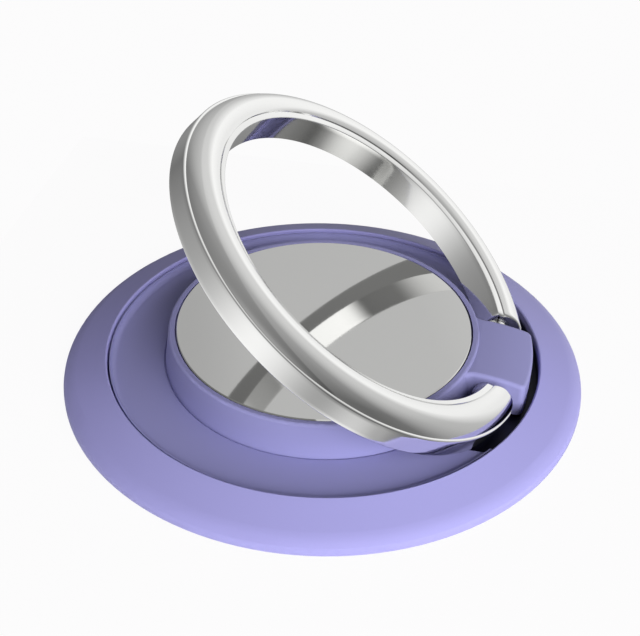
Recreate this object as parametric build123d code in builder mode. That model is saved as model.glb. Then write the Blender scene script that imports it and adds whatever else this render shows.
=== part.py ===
import os
from math import cos, radians, sin, sqrt
from build123d import *

os.makedirs("parts", exist_ok=True)

# Sizes in millimetres. The swivel axis is Z, the hinge lies on +X, the pad's underside is Z = 0.

# Base flange
base_radius = 20.0
flange_width = 3.4
lip_step = 0.68
lip_round = 0.15
shoulder_inset = 1.0
shoulder_height = 1.50
rim_top_inset = 0.14
rim_top_height = 0.90
rim_widest_height = 0.53
rim_low_height = 0.35
underside_inset = 0.55
underside_height = 0.10

# Adhesive pad and the pocket it sits in
pad_inset = 1.6
pad_thickness = 0.30
pad_pocket_gap = 0.20

# Base floor, with a channel that the ring's ends swing into
floor_thickness = 0.60
channel_gap = 0.11
channel_margin = 0.55
boss_radius = 5.0
boss_thickness = 1.20

# Hub
hub_gap = 0.10
hub_edge_gap = 0.15
dish_round = 0.45
dish_land = 0.10
foot_groove_width = 0.14
foot_groove_depth = 0.12
recess_thickness = 0.71
groove_width = 4.39
tower_height = 2.71
wall_draft = 0.34
rim_round = 0.22
rim_wall = 0.50
web_thickness = 0.60
well_radius = 6.0
boss_room = 0.60

# Mirror plate and its tape
plate_gap = 0.08
plate_thickness = 0.50
plate_proud = 0.03
plate_chamfer = 0.08
tape_thickness = 0.10
tape_inset = 0.30

# Swivel stack on the rivet
rivet_radius = 2.0
rivet_wall = 0.80
rivet_head_flange = 1.20
rivet_head_thickness = 0.50
rivet_crown_thickness = 0.40
rivet_sink = 0.05
seat_gap = 0.01
running_gap = 0.06
washer_gap = 0.10
glide_thickness = 0.20
glide_inset = 0.20
spring_height = 0.45
spring_thickness = 0.22
spring_width = 2.50
spring_land = 0.30
retainer_thickness = 0.30
retainer_flange = 1.90

# Glide ring between hub and base floor
glide_ring_inset = 1.81
glide_ring_width = 2.0
glide_ring_thickness = 0.45
glide_ring_side_gap = 0.10

# Hinge
hinge_offset = 0.69
pin_above_ring_back = 0.75
ring_rest_gap = 0.15
ring_lift = 36.6
pin_radius = 0.45
pin_half_length = 6.2
pin_end_gap = 0.15
sleeve_wall = 0.35
sleeve_play = 0.03
tongue_half_width = 3.50
tongue_inset = 0.45
tongue_step = 0.14
tongue_drop = 0.97
tongue_lean = 0.05
tongue_round = 0.30
tongue_corner = 0.50
tongue_flare = 0.80
hinge_washer_wall = 0.65
hinge_washer_thickness = 0.70
hinge_washer_play = 0.05

# Finger ring section: widths outward from its inner edge, heights and drops from its crown
ring_foot_gap = 0.28
ring_width = 3.29
ring_height = 2.66
shoulder_step = 0.18
shoulder_drop = 1.16
dome_step = 0.33
dome_drop = 1.00
dome_lean = 0.45
crown_width = 1.76
brow_width = 0.64
brow_drop = 0.24
crease_width = 0.20
crease_drop = 0.56
ring_end_reach = 1.85
ring_end_chamfer = 0.20

# Notch in the hub's floor under the ring's ends and round the tongue
notch_side_gap = 0.55
notch_back_gap = 0.20

# Derived heights
floor_height = pad_thickness + floor_thickness
boss_height = pad_thickness + boss_thickness
lower_head_height = pad_thickness + rivet_sink + rivet_head_thickness
hub_underside = floor_height + hub_gap
recess_floor_height = hub_underside + recess_thickness
lip_height = recess_floor_height + lip_step
rim_height = recess_floor_height + tower_height
web_low = boss_height + glide_thickness
web_top = web_low + web_thickness
spring_top = web_top + spring_height
retainer_top = spring_top + retainer_thickness
rivet_top = retainer_top + rivet_crown_thickness
plate_top = rim_height + plate_proud
plate_low = plate_top - plate_thickness
plate_seat = plate_low - tape_thickness
groove_top = floor_height + glide_ring_thickness
tongue_start_height = rim_height - tongue_step
tongue_end_height = rim_height - tongue_drop
tongue_underside = recess_floor_height - hub_gap

# Derived radii
lip_radius = base_radius - flange_width
pad_radius = base_radius - pad_inset
hub_radius = lip_radius - hub_edge_gap
tongue_outer = hub_radius - tongue_inset
foot_radius = lip_radius - groove_width
rim_radius = foot_radius - wall_draft
tongue_root = (well_radius + rim_radius) / 2
plate_seat_radius = rim_radius - rim_wall
plate_radius = plate_seat_radius - plate_gap
boss_room_radius = boss_radius + boss_room
glide_radius = boss_radius - glide_inset
dish_edge = hub_radius - dish_land
glide_ring_outer = foot_radius - glide_ring_inset
glide_ring_inner = glide_ring_outer - glide_ring_width
rivet_bore = rivet_radius - rivet_wall
rivet_head_radius = rivet_radius + rivet_head_flange
rivet_hole_radius = rivet_radius + washer_gap
spring_radius = rivet_hole_radius + spring_width
retainer_radius = rivet_radius + retainer_flange
sleeve_radius = pin_radius + sleeve_play + sleeve_wall
hinge_washer_radius = pin_radius + hinge_washer_wall
hinge_reach = foot_radius + hinge_offset
ring_inner = foot_radius + ring_foot_gap
ring_outer = ring_inner + ring_width

# Notch and channel follow the part of the ring that dips below the recess floor
ring_dip = sqrt((pin_above_ring_back + ring_rest_gap) ** 2 - pin_above_ring_back**2)
notch_half_width = sqrt(ring_outer**2 - (hinge_reach + ring_dip) ** 2) + notch_side_gap
notch_inner = hinge_reach - pin_above_ring_back - notch_back_gap
channel_inner = notch_inner - channel_margin

# Hinge axis and the ring's own planes at the opened rest pose
hinge_height = recess_floor_height + ring_rest_gap + pin_above_ring_back
washer_side = tongue_half_width + hinge_washer_play
ring_end = washer_side + hinge_washer_thickness + hinge_washer_play
lift_cos = cos(radians(ring_lift))
lift_sin = sin(radians(ring_lift))
ring_outward = (lift_cos, 0, -lift_sin)
ring_normal = (lift_sin, 0, lift_cos)
hinge_point = (hinge_reach, 0, hinge_height)
back_x = hinge_reach - hinge_reach * lift_cos - pin_above_ring_back * lift_sin
back_z = hinge_height + hinge_reach * lift_sin - pin_above_ring_back * lift_cos
ring_section = Plane(origin=(back_x, 0, back_z), x_dir=ring_outward, z_dir=(0, -1, 0))
hinge_section = Plane(origin=hinge_point, x_dir=ring_outward, z_dir=(0, -1, 0))
hinge_upright = Plane(origin=hinge_point, x_dir=(1, 0, 0), z_dir=(0, -1, 0))
channel_height = hinge_height - ring_end_reach - channel_gap

# Base: floor, pocket for the pad, boss for the rivet and the sloping flange with its lip
with BuildPart() as base:
    with BuildSketch(Plane.XZ):
        with BuildLine():
            crown_start = (lip_radius + lip_round, lip_height)
            shoulder = (base_radius - shoulder_inset, shoulder_height)
            rim_top = (base_radius - rim_top_inset, rim_top_height)
            rim_widest = (base_radius, rim_widest_height)
            crown = Line(crown_start, shoulder)
            rolled = TangentArc(shoulder, rim_top, tangent=crown % 1)
            TangentArc(rim_top, rim_widest, tangent=rolled % 1)
            Polyline(
                rim_widest,
                (base_radius, rim_low_height),
                (base_radius - underside_inset, underside_height),
                (pad_radius + pad_pocket_gap, underside_height),
                (pad_radius + pad_pocket_gap, pad_thickness),
                (rivet_head_radius + washer_gap, pad_thickness),
                (rivet_head_radius + washer_gap, lower_head_height),
                (rivet_radius + seat_gap, lower_head_height),
                (rivet_radius + seat_gap, boss_height),
                (boss_radius, boss_height),
                (boss_radius, floor_height),
                (channel_inner, floor_height),
                (channel_inner, channel_height),
                (lip_radius, channel_height),
                (lip_radius, lip_height - lip_round),
            )
            RadiusArc((lip_radius, lip_height - lip_round), crown_start, lip_round)
        make_face()
    revolve(axis=Axis.Z)

# Adhesive pad: the face that goes on the phone
with BuildPart() as adhesive_pad:
    with BuildSketch(Plane.XY):
        Circle(pad_radius)
    extrude(amount=pad_thickness)

# Tongue that carries the hinge, rounded before the hub takes it in
with BuildPart() as tongue:
    with BuildSketch(Plane.XZ):
        with BuildLine():
            top_start = (rim_radius, tongue_start_height)
            top_end = (tongue_outer, tongue_end_height)
            top_curve = TangentArc(top_start, top_end, tangent=(1, -tongue_lean))
            Polyline(
                top_start,
                (tongue_root, tongue_start_height),
                (tongue_root, tongue_underside),
                (notch_inner, tongue_underside),
                (notch_inner, hub_underside),
                (tongue_outer, hub_underside),
                top_end,
            )
        make_face()
    extrude(amount=rim_radius, both=True)
    with BuildSketch(Plane.XY.offset(hub_underside)) as tongue_plan:
        with Locations((tongue_outer / 2, 0)):
            Rectangle(tongue_outer, 2 * tongue_half_width)
        Circle(tongue_outer, mode=Mode.INTERSECT)
        Circle(rim_radius)
        plan_corners = tongue_plan.vertices().sort_by(Axis.X)
        fillet(plan_corners[:2], tongue_flare)
        fillet(tongue_plan.vertices().sort_by(Axis.X)[-2:], tongue_corner)
    extrude(amount=rim_height, mode=Mode.INTERSECT)
    tongue_tops = tongue.edges().filter_by(Axis.Y, reverse=True)
    tongue_tops = tongue_tops.filter_by(lambda e: e.center().Z > tongue_end_height - tongue_round)
    fillet(tongue_tops, tongue_round)

# Hub: recess floor with its raised edge, and tower with the plate's seat
with BuildPart() as hub:
    with BuildSketch(Plane.XZ):
        with BuildLine():
            Polyline(
                (rim_radius - rim_round, rim_height),
                (plate_seat_radius, rim_height),
                (plate_seat_radius, plate_seat),
                (well_radius, plate_seat),
                (well_radius, web_top),
                (rivet_radius + running_gap, web_top),
                (rivet_radius + running_gap, web_low),
                (boss_room_radius, web_low),
                (boss_room_radius, hub_underside),
                (glide_ring_inner - glide_ring_side_gap, hub_underside),
                (glide_ring_inner - glide_ring_side_gap, groove_top),
                (glide_ring_outer + glide_ring_side_gap, groove_top),
                (glide_ring_outer + glide_ring_side_gap, hub_underside),
                (hub_radius, hub_underside),
                (hub_radius, recess_floor_height + dish_round),
                (dish_edge, recess_floor_height + dish_round),
            )
            RadiusArc(
                (dish_edge, recess_floor_height + dish_round),
                (dish_edge - dish_round, recess_floor_height),
                dish_round,
            )
            Polyline(
                (dish_edge - dish_round, recess_floor_height),
                (foot_radius + foot_groove_width, recess_floor_height),
                (foot_radius, recess_floor_height - foot_groove_depth),
                (foot_radius, recess_floor_height),
                (rim_radius, rim_height - rim_round),
            )
            RadiusArc((rim_radius, rim_height - rim_round), (rim_radius - rim_round, rim_height), -rim_round)
        make_face()
    revolve(axis=Axis.Z)
    with BuildSketch(Plane.XY.offset(hub_underside)):
        with Locations((notch_inner + hub_radius / 2, 0)):
            Rectangle(hub_radius, 2 * notch_half_width)
    extrude(amount=recess_floor_height + dish_round - hub_underside, mode=Mode.SUBTRACT)
    add(tongue)
    with BuildSketch(Plane.XY.offset(plate_seat)):
        Circle(plate_seat_radius)
    extrude(amount=rim_height, mode=Mode.SUBTRACT)
    with BuildSketch(hinge_upright):
        Circle(sleeve_radius + seat_gap)
    extrude(amount=tongue_half_width, both=True, mode=Mode.SUBTRACT)

# Tape and polished steel plate in the top of the tower
with BuildPart() as plate_tape:
    with BuildSketch(Plane.XY.offset(plate_seat)):
        Circle(plate_radius - tape_inset)
    extrude(amount=tape_thickness)

with BuildPart() as mirror_plate:
    with BuildSketch(Plane.XY.offset(plate_low)):
        Circle(plate_radius)
    extrude(amount=plate_thickness)
    chamfer(mirror_plate.faces().sort_by(Axis.Z)[-1].edges(), plate_chamfer)

# Semi-tubular rivet that the hub turns on
with BuildPart() as swivel_rivet:
    with BuildSketch(Plane.XZ):
        with BuildLine():
            Polyline(
                (0, pad_thickness + rivet_sink),
                (rivet_head_radius, pad_thickness + rivet_sink),
                (rivet_head_radius, lower_head_height),
                (rivet_radius, lower_head_height),
                (rivet_radius, retainer_top),
                (rivet_head_radius, retainer_top),
                (rivet_head_radius, retainer_top + rivet_crown_thickness / 2),
                (rivet_radius, rivet_top),
                (rivet_bore, rivet_top),
                (rivet_bore, boss_height),
                (0, boss_height),
                close=True,
            )
        make_face()
    revolve(axis=Axis.Z)

# Plastic glide washer, disc spring and retaining washer stacked on the rivet
with BuildPart() as glide_washer:
    with BuildSketch(Plane.XY.offset(boss_height)):
        Circle(glide_radius)
        Circle(rivet_hole_radius, mode=Mode.SUBTRACT)
    extrude(amount=glide_thickness)

with BuildPart() as disc_spring:
    with BuildSketch(Plane.XZ):
        with BuildLine():
            Polyline(
                (spring_radius - spring_land, web_top),
                (spring_radius, web_top),
                (spring_radius, web_top + spring_thickness),
                (rivet_hole_radius + spring_land, spring_top),
                (rivet_hole_radius, spring_top),
                (rivet_hole_radius, spring_top - spring_thickness),
                close=True,
            )
        make_face()
    revolve(axis=Axis.Z)

with BuildPart() as retaining_washer:
    with BuildSketch(Plane.XY.offset(spring_top)):
        Circle(retainer_radius)
        Circle(rivet_radius + seat_gap, mode=Mode.SUBTRACT)
    extrude(amount=retainer_thickness)

# Glide ring that keeps the hub level
with BuildPart() as glide_ring:
    with BuildSketch(Plane.XY.offset(floor_height)):
        Circle(glide_ring_outer)
        Circle(glide_ring_inner, mode=Mode.SUBTRACT)
    extrude(amount=glide_ring_thickness)

# Finger ring: domed section turned about its own axis, opened for the tongue
with BuildPart() as ring:
    with BuildSketch(ring_section):
        with BuildLine():
            crease = (ring_inner + crease_width, ring_height - crease_drop)
            brow = (ring_inner + brow_width, ring_height - brow_drop)
            dome_start = (ring_outer - dome_step, ring_height - dome_drop)
            Polyline(
                brow,
                crease,
                (ring_inner, 0),
                (ring_outer, 0),
                (ring_outer - shoulder_step, ring_height - shoulder_drop),
                dome_start,
            )
            outer_dome = TangentArc(
                dome_start, (ring_inner + crown_width, ring_height), tangent=(-dome_lean, 1)
            )
            TangentArc(outer_dome @ 1, brow, tangent=outer_dome % 1)
        make_face()
    revolve(axis=Axis((back_x, 0, back_z), ring_normal))
    with BuildSketch(hinge_section):
        Rectangle(2 * ring_outer - hinge_reach, 2 * ring_outer)
    extrude(amount=ring_end, both=True, mode=Mode.SUBTRACT)
    with BuildSketch(hinge_section):
        with Locations((hinge_reach / 2, 0)):
            Rectangle(hinge_reach, hinge_reach)
        Circle(ring_end_reach, mode=Mode.SUBTRACT)
        with Locations((ring_end_reach / 2, hinge_reach / 2)):
            Rectangle(ring_end_reach, hinge_reach, mode=Mode.SUBTRACT)
    extrude(amount=notch_half_width, both=True, mode=Mode.SUBTRACT)
    end_edges = ring.edges().filter_by(lambda e: abs(abs(e.center().Y) - ring_end) < seat_gap)
    chamfer(end_edges, ring_end_chamfer)
    with BuildSketch(hinge_section):
        Circle(pin_radius + seat_gap)
    extrude(amount=pin_half_length + pin_end_gap, both=True, mode=Mode.SUBTRACT)

# Hinge pin, sleeve in the tongue and a thin washer at each side of it
with BuildPart() as hinge_pin:
    with BuildSketch(hinge_upright):
        Circle(pin_radius)
    extrude(amount=pin_half_length, both=True)

with BuildPart() as friction_sleeve:
    with BuildSketch(hinge_upright):
        Circle(sleeve_radius)
        Circle(pin_radius + sleeve_play, mode=Mode.SUBTRACT)
    extrude(amount=tongue_half_width, both=True)

with BuildPart() as hinge_washer_near:
    with BuildSketch(hinge_upright.offset(washer_side)):
        Circle(hinge_washer_radius)
        Circle(pin_radius + running_gap, mode=Mode.SUBTRACT)
    extrude(amount=hinge_washer_thickness)

with BuildPart() as hinge_washer_far:
    with BuildSketch(hinge_upright.offset(-washer_side - hinge_washer_thickness)):
        Circle(hinge_washer_radius)
        Circle(pin_radius + running_gap, mode=Mode.SUBTRACT)
    extrude(amount=hinge_washer_thickness)

base.part.label = "base"
adhesive_pad.part.label = "adhesive_pad"
hub.part.label = "hub"
plate_tape.part.label = "plate_tape"
mirror_plate.part.label = "mirror_plate"
swivel_rivet.part.label = "swivel_rivet"
glide_washer.part.label = "glide_washer"
disc_spring.part.label = "disc_spring"
retaining_washer.part.label = "retaining_washer"
glide_ring.part.label = "glide_ring"
ring.part.label = "ring"
hinge_pin.part.label = "hinge_pin"
friction_sleeve.part.label = "friction_sleeve"
hinge_washer_near.part.label = "hinge_washer_near"
hinge_washer_far.part.label = "hinge_washer_far"

export_step(base.part, "parts/base.step")
export_step(adhesive_pad.part, "parts/adhesive_pad.step")
export_step(hub.part, "parts/hub.step")
export_step(plate_tape.part, "parts/plate_tape.step")
export_step(mirror_plate.part, "parts/mirror_plate.step")
export_step(swivel_rivet.part, "parts/swivel_rivet.step")
export_step(glide_washer.part, "parts/glide_washer.step")
export_step(disc_spring.part, "parts/disc_spring.step")
export_step(retaining_washer.part, "parts/retaining_washer.step")
export_step(glide_ring.part, "parts/glide_ring.step")
export_step(ring.part, "parts/ring.step")
export_step(hinge_pin.part, "parts/hinge_pin.step")
export_step(friction_sleeve.part, "parts/friction_sleeve.step")
export_step(hinge_washer_near.part, "parts/hinge_washer_near.step")
export_step(hinge_washer_far.part, "parts/hinge_washer_far.step")
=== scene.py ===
from math import asin, atan2, cos, pi, radians, remainder, sin, sqrt, tan, tau

import bmesh
import bpy
from mathutils import Matrix, Vector


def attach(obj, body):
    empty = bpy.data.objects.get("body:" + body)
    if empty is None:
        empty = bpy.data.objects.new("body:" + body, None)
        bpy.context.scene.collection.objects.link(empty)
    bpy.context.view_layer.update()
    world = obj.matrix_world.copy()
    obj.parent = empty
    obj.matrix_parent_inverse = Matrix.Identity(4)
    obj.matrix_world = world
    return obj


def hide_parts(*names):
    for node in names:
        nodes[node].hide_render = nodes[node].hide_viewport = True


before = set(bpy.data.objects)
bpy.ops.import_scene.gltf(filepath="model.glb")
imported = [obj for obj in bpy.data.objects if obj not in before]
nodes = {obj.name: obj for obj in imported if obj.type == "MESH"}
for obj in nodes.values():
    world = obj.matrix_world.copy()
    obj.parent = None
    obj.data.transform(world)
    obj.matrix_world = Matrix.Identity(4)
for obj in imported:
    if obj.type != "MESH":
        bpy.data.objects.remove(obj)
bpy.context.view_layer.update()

scene = bpy.context.scene
scene.view_settings.view_transform = "Standard"

# ---------------------------------------------------------------------------
# The photographer's place
# A normal lens a hand's breadth away, in front and a little to the right of the holder,
# looking down on it at the angle at which it is usually shown.
# ---------------------------------------------------------------------------
camera_place = (0.013808, -0.072148, 0.059098)
camera_right = (0.98074, 0.19409, 0.02188)
camera_up = (-0.13259, 0.57933, 0.80423)
camera_back = (0.14342, -0.79164, 0.59391)
sensor_width_mm = 36.0
focal_length_mm = 67.313
lens_shift = (-0.0217, 0.0005)
clip_distances = (0.002, 20.0)

camera_data = bpy.data.cameras.new("camera")
camera_data.sensor_fit = "HORIZONTAL"
camera_data.sensor_width = sensor_width_mm
camera_data.lens = focal_length_mm
camera_data.shift_x, camera_data.shift_y = lens_shift
camera_data.clip_start, camera_data.clip_end = clip_distances
camera = bpy.data.objects.new("camera", camera_data)
turn = Matrix((camera_right, camera_up, camera_back)).transposed().to_4x4()
camera.matrix_world = Matrix.Translation(camera_place) @ turn
scene.collection.objects.link(camera)
scene.camera = camera

# ---------------------------------------------------------------------------
# The studio
# A white sheet of paper under the holder, one large soft lamp in front on the right and weak
# ones on the right and the left. The polished metal mirrors a grey room that is white behind
# on the right, with a white board low in front on the left.
# ---------------------------------------------------------------------------
background_white = (0.9734, 0.9700, 0.9734, 1.0)  # what the camera sees round the holder
ambient_colour = (0.96, 0.97, 1.0, 1.0)
ambient_strength = 0.05

# The wall: its side of the room, how far towards that side it begins and ends, and its
# brightness on the way.
white_wall_side = (0.5406, 0.8265, 0.1568)
white_wall_edges = (-0.2, 0.9)
white_wall_levels = (
    (0.0, 0.164),
    (0.273, 0.206),
    (0.5, 0.426),
    (0.682, 0.546),
    (0.836, 0.597),
    (1.0, 1.015),
)

# Round patches: the side of the room, how fast they fade from it, and their strength.
ceiling = ((0.0, 0.0, 1.0), 1.0, 0.282)
white_board = ((-0.4434, -0.8962, -0.0138), 7.5, 0.889)
side_wall = ((-0.7436, -0.1661, -0.6477), 3.4, 1.45)
dark_floor = ((-0.3608, 0.3620, -0.8595), 6.0, -1.0)
pale_floor = ((0.0901, -0.6223, -0.7776), 28.1, 0.87)

# Parts of the room beyond a line: the side, the line's fading edge, and the strength.
left_corner = ((-0.9356, -0.3494, -0.0513), (-0.12, -0.05), -0.11)
front_softbox = ((0.7093, -0.6490, 0.2750), (0.776, 0.906), 1.65)
side_softbox = ((-0.6380, -0.0094, 0.7700), (0.697, 0.995), 0.87)
dark_ceiling = ((0.4980, 0.0436, 0.8660), (0.92, 0.98), -0.38)
second_mirror_depth = 1.5

lamp_aim = (0, 0, 0.004)
lamps = (
    # name, place, width and height, watts
    ("key_lamp", (0.230, -0.280, 0.172), (0.36, 0.26), 2.50),
    ("side_lamp", (0.34, 0.08, 0.20), (0.20, 0.20), 0.06),
    ("left_lamp", (-0.36, -0.12, 0.045), (0.20, 0.06), 0.27),
)

room = bpy.data.worlds.new("room")
room.use_nodes = True
tree = room.node_tree
tree.nodes.clear()
out = tree.nodes.new("ShaderNodeOutputWorld")
direction = tree.nodes.new("ShaderNodeTexCoord")


def toward(side):
    """How far a direction points to that side of the room, from -1 to 1."""
    made = tree.nodes.new("ShaderNodeVectorMath")
    made.operation = "DOT_PRODUCT"
    made.inputs[1].default_value = side
    tree.links.new(direction.outputs["Generated"], made.inputs[0])
    return made.outputs["Value"]


def math_node(operation, *values):
    """The result of a Math node in the present tree, which takes sockets and plain numbers."""
    made = tree.nodes.new("ShaderNodeMath")
    made.operation = operation
    for index, value in enumerate(values):
        if isinstance(value, float):
            made.inputs[index].default_value = value
        else:
            tree.links.new(value, made.inputs[index])
    return made.outputs[0]


def with_patch(behind, side, sharpness, strength):
    """The room's brightness with a soft patch on that side, lighter or darker than the rest."""
    facing = math_node("MAXIMUM", toward(side), 0.0)
    return math_node("MULTIPLY_ADD", math_node("POWER", facing, sharpness), strength, behind)


spread = tree.nodes.new("ShaderNodeMapRange")
spread.inputs["From Min"].default_value = white_wall_edges[0]
spread.inputs["From Max"].default_value = white_wall_edges[1]
tree.links.new(toward(white_wall_side), spread.inputs["Value"])
wall = tree.nodes.new("ShaderNodeValToRGB")
stops = wall.color_ramp.elements
for index, (place, level) in enumerate(white_wall_levels):
    stop = stops[index] if index < len(stops) else stops.new(place)
    stop.position = place
    stop.color = (level, level, level, 1.0)
tree.links.new(spread.outputs["Result"], wall.inputs[0])
brightness = wall.outputs["Color"]
for patch in (ceiling, white_board, side_wall, dark_floor, pale_floor):
    brightness = with_patch(brightness, *patch)


def with_edge(behind, side, edge, strength):
    """The room's brightness, changed on one side of a line that fades over the edge's width."""
    lit = tree.nodes.new("ShaderNodeMapRange")
    lit.interpolation_type = "SMOOTHSTEP"
    lit.inputs["From Min"].default_value, lit.inputs["From Max"].default_value = edge
    tree.links.new(toward(side), lit.inputs["Value"])
    return math_node("MULTIPLY_ADD", lit.outputs["Result"], strength, behind)


first_room = with_edge(brightness, *left_corner)
second_room = first_room
for patch in (front_softbox, side_softbox, dark_ceiling):
    second_room = with_edge(second_room, *patch)

# The softboxes and the dark ceiling are flagged off from the first mirror, and show only in a
# mirror that is itself mirrored.
rays = tree.nodes.new("ShaderNodeLightPath")
second_mirror = math_node("GREATER_THAN", rays.outputs["Glossy Depth"], second_mirror_depth)
shown_room = tree.nodes.new("ShaderNodeMix")
tree.links.new(second_mirror, shown_room.inputs["Factor"])
tree.links.new(first_room, shown_room.inputs["A"])
tree.links.new(second_room, shown_room.inputs["B"])
not_below_black = math_node("MAXIMUM", shown_room.outputs["Result"], 0.0)
mirrored = tree.nodes.new("ShaderNodeBackground")
tree.links.new(not_below_black, mirrored.inputs["Color"])
ambient = tree.nodes.new("ShaderNodeBackground")
ambient.inputs["Color"].default_value = ambient_colour
ambient.inputs["Strength"].default_value = ambient_strength
seen = tree.nodes.new("ShaderNodeBackground")
seen.inputs["Color"].default_value = background_white
gloss_or_glass = math_node(
    "MAXIMUM", rays.outputs["Is Glossy Ray"], rays.outputs["Is Transmission Ray"]
)
lit_or_mirrored = tree.nodes.new("ShaderNodeMixShader")
tree.links.new(gloss_or_glass, lit_or_mirrored.inputs[0])
tree.links.new(ambient.outputs[0], lit_or_mirrored.inputs[1])
tree.links.new(mirrored.outputs[0], lit_or_mirrored.inputs[2])
all_rays = tree.nodes.new("ShaderNodeMixShader")
tree.links.new(rays.outputs["Is Camera Ray"], all_rays.inputs[0])
tree.links.new(lit_or_mirrored.outputs[0], all_rays.inputs[1])
tree.links.new(seen.outputs[0], all_rays.inputs[2])
tree.links.new(all_rays.outputs[0], out.inputs["Surface"])
scene.world = room

# Soft lamps that point at the holder and aren't mirrored in the metal.
for name, place, size, watts in lamps:
    lamp_data = bpy.data.lights.new(name, "AREA")
    lamp_data.shape = "RECTANGLE"
    lamp_data.size, lamp_data.size_y = size
    lamp_data.energy = watts
    lamp = bpy.data.objects.new(name, lamp_data)
    aim = Vector(lamp_aim) - Vector(place)
    lamp.rotation_euler = aim.to_track_quat("-Z", "Y").to_euler()
    lamp.location = place
    lamp.visible_glossy = False
    scene.collection.objects.link(lamp)

# ---------------------------------------------------------------------------
# The sheet of paper
# Plain white card that the holder lies on. To the camera it is as white as the background, with
# the holder's faint shade on it, and the metal doesn't mirror it.
# ---------------------------------------------------------------------------
paper_half_width = 0.032
paper_colour = (0.80, 0.80, 0.80, 1.0)
paper_shade = (0.035, 0.035, 0.035, 1.0)
paper_glow = 0.976

paper_mesh = bpy.data.meshes.new("paper")
paper_form = bmesh.new()
corners = [
    paper_form.verts.new((x * paper_half_width, y * paper_half_width, 0))
    for x, y in ((-1, -1), (1, -1), (1, 1), (-1, 1))
]
paper_form.faces.new(corners)
paper_form.to_mesh(paper_mesh)
paper_form.free()
paper = bpy.data.objects.new("paper", paper_mesh)
paper.visible_glossy = False
paper.visible_transmission = False
scene.collection.objects.link(paper)

white_paper = bpy.data.materials.new("white_paper")
white_paper.use_nodes = True
tree = white_paper.node_tree
tree.nodes.clear()
out = tree.nodes.new("ShaderNodeOutputMaterial")
plain = tree.nodes.new("ShaderNodeBsdfDiffuse")
plain.inputs["Color"].default_value = paper_colour
shade = tree.nodes.new("ShaderNodeBsdfDiffuse")
shade.inputs["Color"].default_value = paper_shade
glow = tree.nodes.new("ShaderNodeEmission")
glow.inputs["Color"].default_value = background_white
glow.inputs["Strength"].default_value = paper_glow
background = tree.nodes.new("ShaderNodeAddShader")
tree.links.new(shade.outputs[0], background.inputs[0])
tree.links.new(glow.outputs[0], background.inputs[1])
rays = tree.nodes.new("ShaderNodeLightPath")
plain_or_background = tree.nodes.new("ShaderNodeMixShader")
tree.links.new(rays.outputs["Is Camera Ray"], plain_or_background.inputs[0])
tree.links.new(plain.outputs[0], plain_or_background.inputs[1])
tree.links.new(background.outputs[0], plain_or_background.inputs[2])
tree.links.new(plain_or_background.outputs[0], out.inputs["Surface"])
paper_mesh.materials.append(white_paper)

# ---------------------------------------------------------------------------
# Base flange
# Die-cast zinc alloy: a sloping flange that ends in a rolled rim over the phone, with a low
# lip round the recess. Satin lilac paint is sprayed on; the channel that the ring's ends swing
# into is coloured near black as painted shade, for the deep shadow that falls there.
# ---------------------------------------------------------------------------
base_light = (0.365, 0.350, 0.695, 1.0)
base_dark = (0.350, 0.335, 0.670, 1.0)
# Painted shade: near black in the channel beside the hinge, low inside the lip, where shadow
# falls.
channel_painted_shade = (0.012, 0.012, 0.032, 1.0)
painted_shade_top = 0.00150  # height below which the dark is full
painted_shade_fade = 0.00035  # height above it over which the dark fades
channel_reach = 0.01665  # from the swivel axis out to the lip
channel_side = 0.0103  # from the swivel axis towards the hinge

grain_detail = 4.0
grain_roughness = 0.6
grain_range = (0.3, 0.7)
relief_height = 0.00002


def surface_grain():
    """A fine uneven skin, as paint, foam and moulded plastic have."""
    group = bpy.data.node_groups.new("surface_grain", "ShaderNodeTree")
    for socket in ("Scale", "Low", "High"):
        group.interface.new_socket(socket, in_out="INPUT", socket_type="NodeSocketFloat")
    for socket in ("Mask", "Value"):
        group.interface.new_socket(socket, in_out="OUTPUT", socket_type="NodeSocketFloat")
    inside = group.nodes.new("NodeGroupInput")
    result = group.nodes.new("NodeGroupOutput")
    place = group.nodes.new("ShaderNodeTexCoord")
    noise = group.nodes.new("ShaderNodeTexNoise")
    noise.inputs["Detail"].default_value = grain_detail
    noise.inputs["Roughness"].default_value = grain_roughness
    group.links.new(place.outputs["Object"], noise.inputs["Vector"])
    group.links.new(inside.outputs["Scale"], noise.inputs["Scale"])
    spread = group.nodes.new("ShaderNodeMapRange")
    spread.inputs["From Min"].default_value = grain_range[0]
    spread.inputs["From Max"].default_value = grain_range[1]
    group.links.new(noise.outputs["Fac"], spread.inputs["Value"])
    group.links.new(inside.outputs["Low"], spread.inputs["To Min"])
    group.links.new(inside.outputs["High"], spread.inputs["To Max"])
    group.links.new(noise.outputs["Fac"], result.inputs["Mask"])
    group.links.new(spread.outputs["Result"], result.inputs["Value"])
    return group


grain = surface_grain()


def grained_material(name, light, dark, metallic, rough, grain_scale, bump, specular=0.5):
    """A skin whose colour and roughness, and height where it has a bump, vary with the grain."""
    made = bpy.data.materials.new(name)
    made.use_nodes = True
    tree = made.node_tree
    skin = tree.nodes["Principled BSDF"]
    skin.inputs["Metallic"].default_value = metallic
    skin.inputs["Specular IOR Level"].default_value = specular
    fine = tree.nodes.new("ShaderNodeGroup")
    fine.node_tree = grain
    fine.inputs["Scale"].default_value = grain_scale
    fine.inputs["Low"].default_value = rough[0]
    fine.inputs["High"].default_value = rough[1]
    tint = tree.nodes.new("ShaderNodeMix")
    tint.data_type = "RGBA"
    tint.inputs["A"].default_value = dark
    tint.inputs["B"].default_value = light
    tree.links.new(fine.outputs["Mask"], tint.inputs["Factor"])
    tree.links.new(tint.outputs["Result"], skin.inputs["Base Color"])
    tree.links.new(fine.outputs["Value"], skin.inputs["Roughness"])
    if bump:
        relief = tree.nodes.new("ShaderNodeBump")
        relief.inputs["Strength"].default_value = bump
        relief.inputs["Distance"].default_value = relief_height
        tree.links.new(fine.outputs["Mask"], relief.inputs["Height"])
        tree.links.new(relief.outputs["Normal"], skin.inputs["Normal"])
    return made


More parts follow.
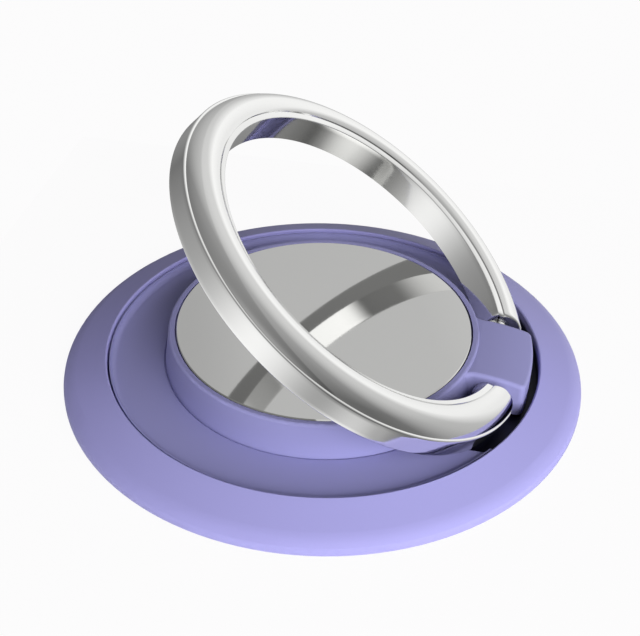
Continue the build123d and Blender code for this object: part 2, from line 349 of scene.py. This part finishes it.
base_paint_and_shade = grained_material(
    "base_lilac_paint_and_painted_shade",
    light=base_light,
    dark=base_dark,
    metallic=0.0,
    rough=(0.42, 0.52),
    grain_scale=9000.0,
    bump=0.15,
    specular=0.30,
)
tree = base_paint_and_shade.node_tree
skin = tree.nodes["Principled BSDF"]
place = tree.nodes.new("ShaderNodeTexCoord")
along = tree.nodes.new("ShaderNodeSeparateXYZ")
tree.links.new(place.outputs["Object"], along.inputs[0])
flat = tree.nodes.new("ShaderNodeCombineXYZ")
tree.links.new(along.outputs["X"], flat.inputs["X"])
tree.links.new(along.outputs["Y"], flat.inputs["Y"])
radius = tree.nodes.new("ShaderNodeVectorMath")
radius.operation = "LENGTH"
tree.links.new(flat.outputs[0], radius.inputs[0])
# Painted shade: the paint turns near black low in the channel beside the hinge, inside the lip.
inside_lip = math_node("LESS_THAN", radius.outputs["Value"], channel_reach)
beside_hinge = math_node("GREATER_THAN", along.outputs["X"], channel_side)
depth = tree.nodes.new("ShaderNodeMapRange")
depth.inputs["From Min"].default_value = painted_shade_top + painted_shade_fade
depth.inputs["From Max"].default_value = painted_shade_top
tree.links.new(along.outputs["Z"], depth.inputs["Value"])
near_hinge = math_node("MULTIPLY", inside_lip, beside_hinge)
in_painted_shade = math_node("MULTIPLY", near_hinge, depth.outputs["Result"])
painted = skin.inputs["Base Color"].links[0].from_socket
painted_shade_mix = tree.nodes.new("ShaderNodeMix")
painted_shade_mix.data_type = "RGBA"
painted_shade_mix.inputs["B"].default_value = channel_painted_shade
tree.links.new(in_painted_shade, painted_shade_mix.inputs["Factor"])
tree.links.new(painted, painted_shade_mix.inputs["A"])
tree.links.new(painted_shade_mix.outputs["Result"], skin.inputs["Base Color"])
nodes["base"].material_slots[0].material = base_paint_and_shade

# ---------------------------------------------------------------------------
# Adhesive pad
# A disc of dark acrylic foam tape, sticky on both sides, in a shallow pocket under the base.
# ---------------------------------------------------------------------------
foam = grained_material(
    "dark_foam_tape",
    light=(0.030, 0.030, 0.033, 1.0),
    dark=(0.018, 0.018, 0.020, 1.0),
    metallic=0.0,
    rough=(0.80, 0.95),
    grain_scale=5000.0,
    bump=0.8,
)
nodes["adhesive_pad"].material_slots[0].material = foam

# ---------------------------------------------------------------------------
# Hub
# Die-cast in one with the tower and the hinge tongue, and painted in the base's lilac, set about
# a fifth darker as painted shade for the recess it sits in. It turns on the rivet; its floor is
# dished up to a thin edge that runs close inside the lip.
# ---------------------------------------------------------------------------
# Painted shade: the same lilac as the base, darkened about a fifth for the shade in the recess.
hub_paint_with_shade = grained_material(
    "hub_lilac_paint_with_painted_shade",
    light=(0.290, 0.284, 0.545, 1.0),
    dark=(0.281, 0.275, 0.528, 1.0),
    metallic=0.0,
    rough=(0.42, 0.52),
    grain_scale=9000.0,
    bump=0.15,
    specular=0.30,
)
nodes["hub"].material_slots[0].material = hub_paint_with_shade

# ---------------------------------------------------------------------------
# Plate tape
# Thin double-sided film that holds the steel disc down in the top of the tower.
# ---------------------------------------------------------------------------
film = grained_material(
    "film_tape",
    light=(0.72, 0.72, 0.68, 1.0),
    dark=(0.68, 0.68, 0.64, 1.0),
    metallic=0.0,
    rough=(0.60, 0.75),
    grain_scale=4000.0,
    bump=0.2,
)
nodes["plate_tape"].material_slots[0].material = film

# ---------------------------------------------------------------------------
# Mirror plate
# A disc stamped from stainless steel strip and polished bright on top, with a fine chamfer.
# It is what a magnetic holder grips, and the folded ring lies round it.
# ---------------------------------------------------------------------------
mirror_steel = grained_material(
    "mirror_steel",
    light=(0.615, 0.615, 0.605, 1.0),
    dark=(0.605, 0.605, 0.595, 1.0),
    metallic=1.0,
    rough=(0.03, 0.05),
    grain_scale=900.0,
    bump=0.0,
)
nodes["mirror_plate"].material_slots[0].material = mirror_steel

# ---------------------------------------------------------------------------
# Swivel rivet and retaining washer
# Semi-tubular steel rivet, set over a flat washer under the plate. Both are turned or
# punched and zinc plated.
# ---------------------------------------------------------------------------
plated_steel = grained_material(
    "plated_steel",
    light=(0.60, 0.60, 0.60, 1.0),
    dark=(0.54, 0.54, 0.55, 1.0),
    metallic=1.0,
    rough=(0.20, 0.30),
    grain_scale=5000.0,
    bump=0.1,
)
nodes["swivel_rivet"].material_slots[0].material = plated_steel
nodes["retaining_washer"].material_slots[0].material = plated_steel

# ---------------------------------------------------------------------------
# Glide washer and glide ring
# Natural white low-friction plastic, punched and moulded. They keep the two castings apart.
# ---------------------------------------------------------------------------
glide_plastic = grained_material(
    "glide_plastic",
    light=(0.74, 0.74, 0.70, 1.0),
    dark=(0.68, 0.68, 0.64, 1.0),
    metallic=0.0,
    rough=(0.35, 0.50),
    grain_scale=3000.0,
    bump=0.2,
)
nodes["glide_washer"].material_slots[0].material = glide_plastic
nodes["glide_ring"].material_slots[0].material = glide_plastic

# ---------------------------------------------------------------------------
# Disc spring and friction sleeve
# Hardened spring steel with a thin oiled skin: a cone that loads the swivel, and a rolled
# tube that grips the hinge pin.
# ---------------------------------------------------------------------------
spring_steel = grained_material(
    "spring_steel",
    light=(0.30, 0.30, 0.31, 1.0),
    dark=(0.22, 0.22, 0.24, 1.0),
    metallic=1.0,
    rough=(0.30, 0.42),
    grain_scale=4000.0,
    bump=0.2,
)
nodes["disc_spring"].material_slots[0].material = spring_steel
nodes["friction_sleeve"].material_slots[0].material = spring_steel

# ---------------------------------------------------------------------------
# Finger ring
# Die-cast zinc alloy, buffed and plated bright. A dome runs round it between a narrow ledge above
# the outer wall and a small step at the inner edge. Its two ends are rounded over and drilled
# for the hinge pin.
# ---------------------------------------------------------------------------
hinge_x = 0.01290
hinge_z = 0.00261
ring_lift = radians(36.6)

# Corners of the section: distance from the ring's centre, and height above its back.
outer_foot = (0.01578, 0.0)
wall_top = (0.01560, 0.00160)
dome_start = (0.01542, 0.00160)
dome_crown = (0.01425, 0.00266)
brow = (0.01313, 0.00242)
brow_foot = (0.01309, 0.00231)
crease = (0.01268, 0.00218)
inner_foot = (0.01249, 0.0)
dome_lean = 0.45  # inwards for each unit upwards, where the dome starts
foot_round = 0.00008
shoulder_round = 0.00013
crease_round = 0.00008

# The two ends, on each side of the tongue, and the pin's bore through them.
pin_above_back = 0.00075
ring_end = 0.00430
end_round = 0.00022
end_reach = 0.00185
mitre_limit = 0.5
bore_radius = 0.00046
bore_end = 0.00635

steps_round = 320
steps_dome = 12
steps_corner = 5
steps_end = 5
steps_wall = 6
steps_back = 8
sharp_angle = radians(24)


def arc_points(start, end, heading, steps):
    """Points after start, up to and with end, on the arc that leaves start in that direction."""
    chord = (end[0] - start[0], end[1] - start[1])
    length = sqrt(chord[0] ** 2 + chord[1] ** 2)
    turn = 2 * remainder(atan2(chord[1], chord[0]) - heading, tau)
    bend = length / (2 * sin(turn / 2))
    centre = (start[0] - bend * sin(heading), start[1] + bend * cos(heading))
    made = []
    for step in range(1, steps + 1):
        angle = heading + turn * step / steps
        made.append((centre[0] + bend * sin(angle), centre[1] - bend * cos(angle)))
    return made, heading + turn


def rounded_corner(before, corner, after, radius):
    """Points of the arc that rounds the corner between its two neighbours."""
    before, corner, after = Vector(before), Vector(corner), Vector(after)
    back, on = (before - corner).normalized(), (after - corner).normalized()
    half = back.angle(on) / 2
    centre = corner + (back + on).normalized() * radius / sin(half)
    first = corner + back * radius / tan(half) - centre
    last = corner + on * radius / tan(half) - centre
    sweep = pi - 2 * half
    made = []
    for step in range(steps_corner + 1):
        angle = sweep * step / steps_corner
        made.append(tuple(centre + (first * sin(sweep - angle) + last * sin(angle)) / sin(sweep)))
    return made


def filled_edge(start, end, steps):
    """Points after start, up to and with end, on a straight line."""
    across, up = end[0] - start[0], end[1] - start[1]
    return [
        (start[0] + across * step / steps, start[1] + up * step / steps)
        for step in range(1, steps + 1)
    ]


# The section's outline, from the outer foot over the dome to the inner foot and back.
foot_edge = rounded_corner(inner_foot, outer_foot, wall_top, foot_round)
shoulder_edge = rounded_corner(outer_foot, wall_top, dome_start, shoulder_round)
crease_edge = rounded_corner(brow_foot, crease, inner_foot, crease_round)
dome_heading = atan2(1.0, -dome_lean)
outer_arc, crown_heading = arc_points(dome_start, dome_crown, dome_heading, steps_dome)
inner_arc, _ = arc_points(dome_crown, brow, crown_heading, steps_dome)
section = foot_edge + filled_edge(foot_edge[-1], shoulder_edge[0], steps_wall)[:-1]
section += shoulder_edge + [dome_start] + outer_arc + inner_arc
section += [brow_foot] + crease_edge + filled_edge(crease_edge[-1], inner_foot, steps_wall)
section += filled_edge(inner_foot, foot_edge[0], steps_back)[:-1]


def inset(outline, distance):
    """The closed outline moved inwards, with mitred corners."""
    made = []
    for index, point in enumerate(outline):
        before = outline[index - 1]
        after = outline[(index + 1) % len(outline)]
        one = Vector((point[0] - before[0], point[1] - before[1])).normalized()
        two = Vector((after[0] - point[0], after[1] - point[1])).normalized()
        middle = (one + two).normalized()
        inward = Vector((-middle.y, middle.x))
        made.append(Vector(point) + inward * distance / max(mitre_limit, middle.dot(two)))
    return made


def relieved(x, h):
    """The point, pulled back to the arc that clears the base as the ring turns on its pin."""
    out_x, up_h = x - hinge_x, h - pin_above_back
    if out_x > 0 and up_h >= 0:
        return min(out_x, end_reach) + hinge_x, h
    reach = sqrt(out_x**2 + up_h**2)
    if out_x > 0 and reach > end_reach:
        share = end_reach / reach
        return hinge_x + out_x * share, pin_above_back + up_h * share
    return x, h


# The ring is built flat about its own centre, then lifted about the pin to its slant.
back_x = hinge_x - hinge_x * cos(ring_lift) - pin_above_back * sin(ring_lift)
back_z = hinge_z + hinge_x * sin(ring_lift) - pin_above_back * cos(ring_lift)
ring_place = Matrix.Translation((back_x, 0, back_z)) @ Matrix.Rotation(ring_lift, 4, "Y")

ring_form = bmesh.new()


def ring_vertex(x, y, h):
    """A vertex of the lifted ring, from its place on the flat one."""
    return ring_form.verts.new(ring_place @ Vector((x, y, h)))


def end_row(side, depth, y):
    """One row of points round the section, on the plane at that distance from the middle."""
    made = []
    for r, h in inset(section, depth):
        x, h = relieved(sqrt(r**2 - y**2), h)
        made.append(ring_vertex(x, side * y, h))
    return made


def bore_row(side, y):
    """One row of points round the pin's bore, each on the side of its point of the section."""
    made = []
    for r, h in section:
        x, h = relieved(sqrt(r**2 - ring_end**2), h)
        angle = atan2(h - pin_above_back, x - hinge_x)
        bore_x = hinge_x + bore_radius * cos(angle)
        bore_h = pin_above_back + bore_radius * sin(angle)
        made.append(ring_vertex(bore_x, side * y, bore_h))
    return made


def rounded_rows(side):
    """The rows of one end, from inside the bore over the end face and its rounded edge."""
    made = [bore_row(side, bore_end), bore_row(side, ring_end)]
    for step in range(steps_end + 1):
        tilt = pi / 2 * step / steps_end
        depth = end_round * (1 - sin(tilt))
        made.append(end_row(side, depth, ring_end + end_round * (1 - cos(tilt))))
    return made


near_rows = rounded_rows(-1)
far_rows = rounded_rows(1)
around_rows = []
for step in range(1, steps_round):
    row = []
    for r, h in section:
        first = asin((ring_end + end_round) / r)
        angle = first + (2 * pi - 2 * first) * step / steps_round
        x, y = r * cos(angle), r * sin(angle)
        if x > hinge_x:
            x, h = relieved(x, h)
        row.append(ring_vertex(x, y, h))
    around_rows.append(row)
rows = far_rows + around_rows + near_rows[::-1]
for one, two in zip(rows, rows[1:]):
    for index in range(len(section)):
        following = (index + 1) % len(section)
        ring_form.faces.new((one[index], one[following], two[following], two[index]))
ring_form.faces.new(rows[0])
ring_form.faces.new(rows[-1][::-1])
bmesh.ops.recalc_face_normals(ring_form, faces=ring_form.faces)
ring_mesh = bpy.data.meshes.new("finger_ring")
ring_form.to_mesh(ring_mesh)
ring_form.free()
ring_mesh.shade_smooth()
ring_mesh.set_sharp_from_angle(angle=sharp_angle)
finger_ring = bpy.data.objects.new("finger_ring", ring_mesh)
scene.collection.objects.link(finger_ring)
polished_zinc = grained_material(
    "polished_zinc",
    light=(0.80, 0.80, 0.79, 1.0),
    dark=(0.79, 0.79, 0.78, 1.0),
    metallic=1.0,
    rough=(0.07, 0.10),
    grain_scale=900.0,
    bump=0.0,
)
ring_mesh.materials.append(polished_zinc)
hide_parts("ring")
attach(finger_ring, "ring")

# ---------------------------------------------------------------------------
# Hinge pin and hinge washers
# A hardened steel pin is pressed into the ring's two ends and turns with them in the tongue's
# sleeve, with a plated spacer washer on each side of the tongue.
# ---------------------------------------------------------------------------
nodes["hinge_pin"].material_slots[0].material = plated_steel
nodes["hinge_washer_near"].material_slots[0].material = plated_steel
nodes["hinge_washer_far"].material_slots[0].material = plated_steel
